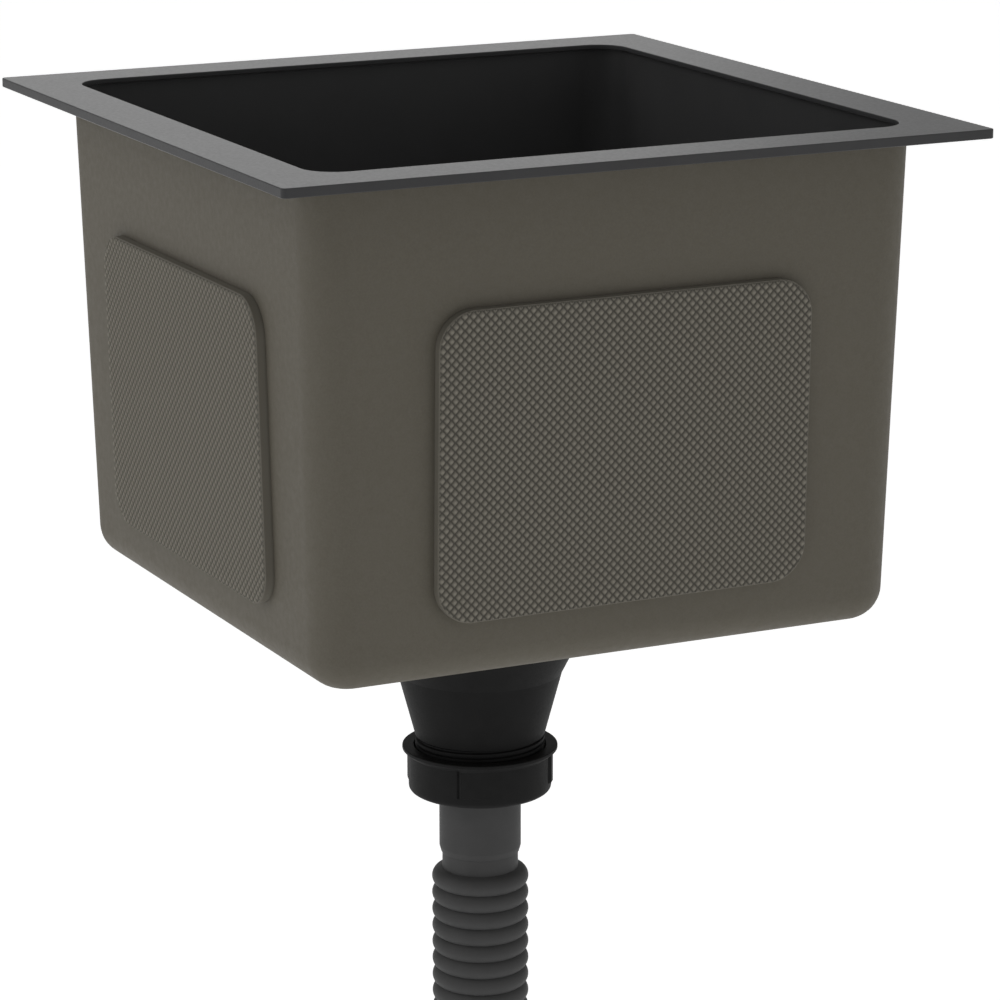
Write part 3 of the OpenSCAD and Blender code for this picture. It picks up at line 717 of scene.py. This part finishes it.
def pad_mesh(name, tree, width, length, corner):
    """Pad with its glued face at height 0, embossed on top, with a rounded edge."""
    skin_width, skin_length = width - 2 * PAD_EDGE, length - 2 * PAD_EDGE
    skin_corner = corner - PAD_EDGE
    cells = 2 * math.ceil((width + length) / math.sqrt(2) / WEAVE_PITCH / 2) + 2
    mesh = grown(name, tree, {
        "Width": skin_width, "Length": skin_length, "Corner": skin_corner, "Pitch": WEAVE_PITCH,
        "Depth": WEAVE_DEPTH, "Fade": WEAVE_FADE, "Cells": cells})
    work = bmesh.new()
    work.from_mesh(mesh)
    bmesh.ops.remove_doubles(work, verts=work.verts, dist=0.03 * MM)
    # Painted shade from the height in the weave: darker in the hollows, lighter on the domes
    relief_shade = work.verts.layers.float.new("relief_shade")
    for vert in work.verts:
        vert[relief_shade] = vert.co.z / WEAVE_DEPTH
    core = Vector((skin_width / 2 - skin_corner, skin_length / 2 - skin_corner, 0))
    top = PAD_THICKNESS - WEAVE_DEPTH
    bmesh.ops.translate(work, verts=work.verts, vec=(0, 0, top))
    # The weave's end, the rounded edge, the side and the foot get painted shade, darkest at the foot
    # against the wall
    stages = []
    for step in range(1, FILLET_STEPS + 1):
        turn = math.pi / 2 * step / FILLET_STEPS
        low = PAD_EDGE * (math.cos(turn) - 1) + top
        stages.append((PAD_EDGE * math.sin(turn), low, EDGE_SHADE))
    stages += [(PAD_EDGE, top / 4, SIDE_SHADE), (PAD_EDGE, 0, FOOT_SHADE)]
    ring = boundary(work)
    ways = []
    for vert in ring:
        x, y, _ = vert.co
        near = Vector((max(-core.x, min(core.x, x)), max(-core.y, min(core.y, y)), 0))
        ways.append((vert.co.copy(), ((vert.co - near) * Vector((1, 1, 0))).normalized()))
        vert[relief_shade] = WEAVE_END_SHADE
    for out, height, shade in stages:
        lower = []
        for foot, way in ways:
            vert = work.verts.new(foot + way * out)
            vert.co.z = height
            vert[relief_shade] = shade
            lower.append(vert)
        for step in range(len(ring)):
            work.faces.new((ring[step], lower[step], lower[step - 1], ring[step - 1]))
        ring = lower
    work.faces.new(ring)
    bmesh.ops.recalc_face_normals(work, faces=work.faces)
    work.to_mesh(mesh)
    work.free()
    mesh.shade_smooth()
    mesh.set_sharp_from_angle(angle=math.radians(40))
    return mesh


def make_pads():
    """Four pads on the walls and two under the floor, all cut from the same embossed sheet."""
    tree = weave_tree()
    wall = pad_mesh("wall_pad", tree, PAD_WIDTH, PAD_HEIGHT, PAD_CORNER)
    middle = RIM_TOP - PAD_DROP - PAD_HEIGHT / 2
    reach = BOWL_HALF + SHEET + math.tan(DRAFT) * middle + GLUE
    on_wall = Matrix.Translation((0, -reach, middle)) @ Matrix.Rotation(math.pi / 2 + DRAFT, 4, "X")
    for turn, side in enumerate(("front", "right", "rear", "left")):
        mesh = wall.copy()
        mesh.transform(Matrix.Rotation(turn * math.pi / 2, 4, "Z") @ on_wall)
        place(linked(side + "_sound_pad", mesh), "sink", "pad_rubber", PAD_RUBBER, side + "_pad")
    seat_edge = SEAT_RADIUS + SEAT_FLARE + SHEET
    base_width = floor_reach() - seat_edge - 2 * BASE_PAD_GAP
    base = pad_mesh("base_pad", tree, base_width, BASE_PAD_LENGTH, BASE_PAD_CORNER)
    fall = math.atan(FLOOR_FALL / floor_reach())
    low = FLOOR_Z - SHEET - FLOOR_FALL - GLUE
    under_floor = Matrix.Translation((0, 0, low)) @ Matrix.Rotation(-fall, 4, "Y")
    middle = (seat_edge + floor_reach()) / 2
    out = Matrix.Translation((middle, 0, 0)) @ Matrix.Rotation(math.pi, 4, "X")
    for turn, side in ((0, "right"), (math.pi, "left")):
        mesh = base.copy()
        mesh.transform(Matrix.Rotation(turn, 4, "Z") @ under_floor @ out)
        place(linked(side + "_base_pad", mesh), "sink", "pad_rubber", PAD_RUBBER, "base_pad_" + side)


def floor_reach():
    """Distance from the middle to the floor's edge."""
    bend_z = FLOOR_Z + FLOOR_FILLET
    return BOWL_HALF + math.tan(DRAFT) * bend_z - FLOOR_FILLET / math.cos(DRAFT)


def thread_skin(low, high):
    """Right-hand thread between two heights: points and faces whose rows follow the helix.

    form has the rows of one turn, each with its share of the pitch and its radius. The thread
    runs out over about a third of the pitch at both ends.
    """
    root, crest = THREAD_ROOT, THREAD_CREST
    form = ((0, root), (0.14, root), (0.3, crest), (0.78, crest), (0.94, root))
    run_out = 0.35 * THREAD_PITCH
    turns = math.ceil((high - low) / THREAD_PITCH) + 2
    rows = [(whole + part, radius) for whole in range(turns) for part, radius in form]
    points = []
    for part, radius in rows:
        for step in range(TURN_POINTS + 1):
            share = step / TURN_POINTS
            height = high + THREAD_PITCH * (share - part)
            fade = min(max(min(height - low, high - height) / run_out, 0), 1)
            reach = root + (radius - root) * fade
            angle = FULL_TURN * share
            level = min(max(height, low), high)
            points.append((reach * math.cos(angle), reach * math.sin(angle), level))
    faces = []
    for row in range(len(rows) - 1):
        for step in range(TURN_POINTS):
            first = row * (TURN_POINTS + 1) + step
            below = first + TURN_POINTS + 1
            corners = (first, first + 1, below + 1, below)
            levels = [points[corner][2] for corner in corners]
            if max(levels) - min(levels) > 1e-7:
                faces.append(corners)
    return points, faces


def box_between(low, high):
    """Points and faces of an upright block."""
    xs, ys, zs = zip(low, high)
    points = [(x, y, z) for z in zs for y in ys for x in xs]
    faces = [(0, 2, 3, 1), (4, 5, 7, 6), (0, 1, 5, 4), (1, 3, 7, 5), (3, 2, 6, 7), (2, 0, 4, 6)]
    return points, faces


def make_waste():
    """Waste body: flange, funnel, waist, cone, threaded outlet and the bridge inside."""
    thread_low = WASTE_END + THREAD_CHAMFER
    inner_waist = WAIST_RADIUS - WASTE_WALL
    chain = rounded([
        (THREAD_ROOT, thread_low, 0),
        (THREAD_ROOT - 1 * MM, WASTE_END, 0.3 * MM),
        (OUTLET_BORE, WASTE_END, 0.4 * MM),
        (OUTLET_BORE, THREAD_TOP, 2 * MM),
        (inner_waist, WAIST_Z, 1 * MM),
        (DRAIN_RADIUS, WASTE_TOP, 0.5 * MM),
        (WASTE_FLANGE_RADIUS, WASTE_TOP, 0.8 * MM),
        (WASTE_FLANGE_RADIUS, WASTE_TOP - WASTE_FLANGE, 0.8 * MM),
        (DRAIN_RADIUS + WASTE_WALL, WASTE_TOP - WASTE_FLANGE, 1.5 * MM),
        (WAIST_RADIUS, WAIST_Z, 1 * MM),
        (CONE_END_RADIUS, THREAD_TOP, 0.2 * MM),
        (THREAD_ROOT, THREAD_TOP, 0),
    ])
    rings = turned_rings(chain)
    points = [point for ring in rings for point in ring]
    faces = ring_faces(rings, False)
    thread_points, thread_faces = thread_skin(thread_low, THREAD_TOP)
    faces += [[corner + len(points) for corner in face] for face in thread_faces]
    points += thread_points
    insert_low, insert_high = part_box("clamp_insert")
    boss_low, boss_top = insert_low.z, insert_high.z
    boss_bore = insert_high.x + INSERT_FIT
    boss_radius = boss_bore + BOSS_WALL
    rings = turned_rings(rounded([
        (boss_bore, boss_low, 0.3 * MM),
        (boss_radius, boss_low, 0.5 * MM),
        (boss_radius, boss_top, 0.5 * MM),
        (boss_bore, boss_top, 0.3 * MM),
    ]))
    faces += ring_faces(rings, True, len(points))
    points += [point for ring in rings for point in ring]
    for turn in range(4):
        spin = Matrix.Rotation(math.pi / 4 + turn * math.pi / 2, 3, "Z")
        block, sides = box_between((boss_bore + WEB_OVERLAP, -WEB / 2, boss_low),
                                   (inner_waist - WEB_OVERLAP, WEB / 2, boss_top - WEB))
        faces += [[corner + len(points) for corner in face] for face in sides]
        points += [tuple(spin @ Vector(point)) for point in block]
    waste = piece_from("waste_funnel", points, faces, crease=40)
    return place(waste, "sink", "waste_plastic", WASTE_PLASTIC, "waste_body")


def lug_rise(angle):
    """Height of a lug over the nut: a groove at its steep start, and a long fading end."""
    past = (angle - LUG_START) % (FULL_TURN / LUG_COUNT)
    to_next = FULL_TURN / LUG_COUNT - past
    groove = max(0.0, 1 - abs(to_next - LUG_RAMP) / LUG_RAMP)
    lug = max(0.0, min(1.0, past / LUG_RAMP, (LUG_ARC - past) / (LUG_ARC - LUG_FULL)))
    return LUG_RISE * lug - LUG_GROOVE * groove


def make_nut():
    """Coupling nut: thin top flange on a cone, grip lugs and a rounded lower edge."""
    flange_low = NUT_TOP - NUT_FLANGE
    cone_low = flange_low - NUT_CONE
    lug_low = flange_low - LUG_HEIGHT
    bore_low = CUFF_RADIUS + NUT_FIT
    outline = rounded([
        (NUT_BORE, NUT_TOP, 0.5 * MM),
        (NUT_BORE, NUT_LOW + NUT_LIP, 0),
        (bore_low, NUT_LOW + NUT_LIP, 0.3 * MM),
        (bore_low, NUT_LOW, 0.5 * MM),
        (NUT_RADIUS, NUT_LOW, NUT_EDGE),
        (NUT_RADIUS, lug_low, 0),
        (NUT_RADIUS, lug_low + LUG_FOOT, 0),
        (NUT_RADIUS, cone_low, 0),
        (NUT_FLANGE_RADIUS, flange_low, 0.4 * MM),
        (NUT_FLANGE_RADIUS, NUT_TOP, 0.4 * MM),
    ])
    angles = {round(FULL_TURN * step / TURN_POINTS, 6) for step in range(TURN_POINTS)}
    for lug in range(LUG_COUNT):
        start = LUG_START + lug * FULL_TURN / LUG_COUNT
        for past in (-2 * LUG_RAMP, -LUG_RAMP, 0, LUG_RAMP, LUG_FULL, LUG_ARC):
            angles.add(round((start + past) % FULL_TURN, 6))
    rings = []
    for radius, height in outline:
        on_side = abs(radius - NUT_RADIUS) < 1e-6
        on_lug = on_side and lug_low + LUG_FOOT / 2 < height <= cone_low + 1e-6
        ring = []
        for angle in sorted(angles):
            reach = radius + (lug_rise(angle) if on_lug else 0)
            ring.append((reach * math.cos(angle), reach * math.sin(angle), height))
        rings.append(ring)
    points = [point for ring in rings for point in ring]
    nut = piece_from("coupling_ring", points, ring_faces(rings, True))
    return place(nut, "nut", "waste_plastic", NUT_PLASTIC_LIGHTENED, "coupling_nut")


def dress_solids():
    """Materials of the solids that are shown as they are."""
    finishes = {
        "strainer_cup": SATIN_COAT, "basket": SATIN_COAT, "basket_knob": SATIN_COAT,
        "cup_gasket": SEAL_RUBBER, "body_gasket": SEAL_RUBBER, "basket_plug": SEAL_RUBBER,
        "seal_washer": SEAL_RUBBER, "clamp_insert": TURNED_BRASS, "clamp_screw": TURNED_STEEL,
        "basket_post": TURNED_STEEL, "basket_nut": TURNED_STEEL,
    }
    for node, material in finishes.items():
        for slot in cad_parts[node].material_slots:
            slot.material = material


def make_stage():
    """Plain pale floor that glows faintly like a light table and shows white to the camera."""
    floor_z = cad_box[0].z - FLOOR_DROP
    mesh = bpy.data.meshes.new("floor")
    signs = ((-1, -1), (1, -1), (1, 1), (-1, 1))
    corners = [(x * FLOOR_HALF, y * FLOOR_HALF, floor_z) for x, y in signs]
    mesh.from_pydata(corners, [], [(0, 1, 2, 3)])
    floor = linked("floor", mesh)
    material = bpy.data.materials.new("pale_floor")
    material.use_nodes = True
    tree = material.node_tree
    tree.nodes.clear()
    seen = add(tree, "ShaderNodeLightPath").outputs
    shown = number(tree, "MAXIMUM", seen["Is Camera Ray"],
                   number(tree, "MAXIMUM", seen["Is Glossy Ray"], seen["Is Transmission Ray"]))
    matt = add(tree, "ShaderNodeBsdfDiffuse", {"Color": (0.9, 0.9, 0.9, 1)})
    strength = spread(tree, shown, 0.4, 0.62, 0, 1)
    glow = add(tree, "ShaderNodeEmission", {"Color": (1, 1, 1, 1), "Strength": strength})
    both = add(tree, "ShaderNodeAddShader", {0: matt.outputs[0], 1: glow.outputs[0]})
    add(tree, "ShaderNodeOutputMaterial", {"Surface": both.outputs[0]})
    mesh.materials.append(material)


def make_light():
    """Even studio light: a pale world and one soft lamp.

    The world is dimmer above, on the camera's side, and at both sides on the far side.
    """
    world = bpy.data.worlds.new("studio")
    bpy.context.scene.world = world
    world.use_nodes = True
    tree = world.node_tree
    tree.nodes.clear()
    seen = add(tree, "ShaderNodeLightPath").outputs
    way = add(tree, "ShaderNodeTexCoord").outputs["Generated"]

    def towards(x, y, z):
        """How far a direction points the given way, from -1 to 1."""
        dot = add(tree, "ShaderNodeVectorMath", {0: way, 1: (x, y, z)}, operation="DOT_PRODUCT")
        return dot.outputs["Value"]

    front = towards(-0.439, -0.898, 0)
    right = towards(0.898, -0.439, 0)
    dim_front = spread(tree, front, 0, 0.65, 0.45, 0.95)
    dim_above = spread(tree, towards(0, 0, 1), 0, 0.38, 0.13, 0.45)
    far_side = spread(tree, front, 1, 0, -0.5, 0.3)
    dim_right = number(tree, "MULTIPLY", spread(tree, right, 0, 0.45, 0.04, 0.08), far_side)
    dim_left = number(tree, "MULTIPLY", spread(tree, right, 0.66, 0, -0.6, -0.16), far_side)
    dim_sides = number(tree, "ADD", dim_right, dim_left)
    dims = number(tree, "ADD", number(tree, "ADD", dim_front, dim_above), dim_sides)
    level = number(tree, "SUBTRACT", 1.0, dims)
    strength = number(tree, "MAXIMUM", level, seen["Is Camera Ray"])
    back = add(tree, "ShaderNodeBackground", {"Color": (1, 1, 1, 1), "Strength": strength})
    add(tree, "ShaderNodeOutputWorld", {"Surface": back.outputs[0]})
    lamp = bpy.data.objects.new("soft_lamp", bpy.data.lights.new("soft_lamp", "AREA"))
    lamp.data.shape = "SQUARE"
    lamp.data.size = 2.0
    lamp.data.energy = 12
    lamp.location = (-1.9, 1.0, 1.5)
    aim = Vector((0, 0, -0.1)) - lamp.location
    lamp.rotation_euler = aim.to_track_quat("-Z", "Y").to_euler()
    bpy.context.scene.collection.objects.link(lamp)


make_camera()
hose = make_hose()
spigot = make_spigot()
make_tailpiece()
make_rim()
paint_outside(make_bowl())
make_pads()
make_waste()
make_nut()
dress_solids()
make_stage()
make_light()
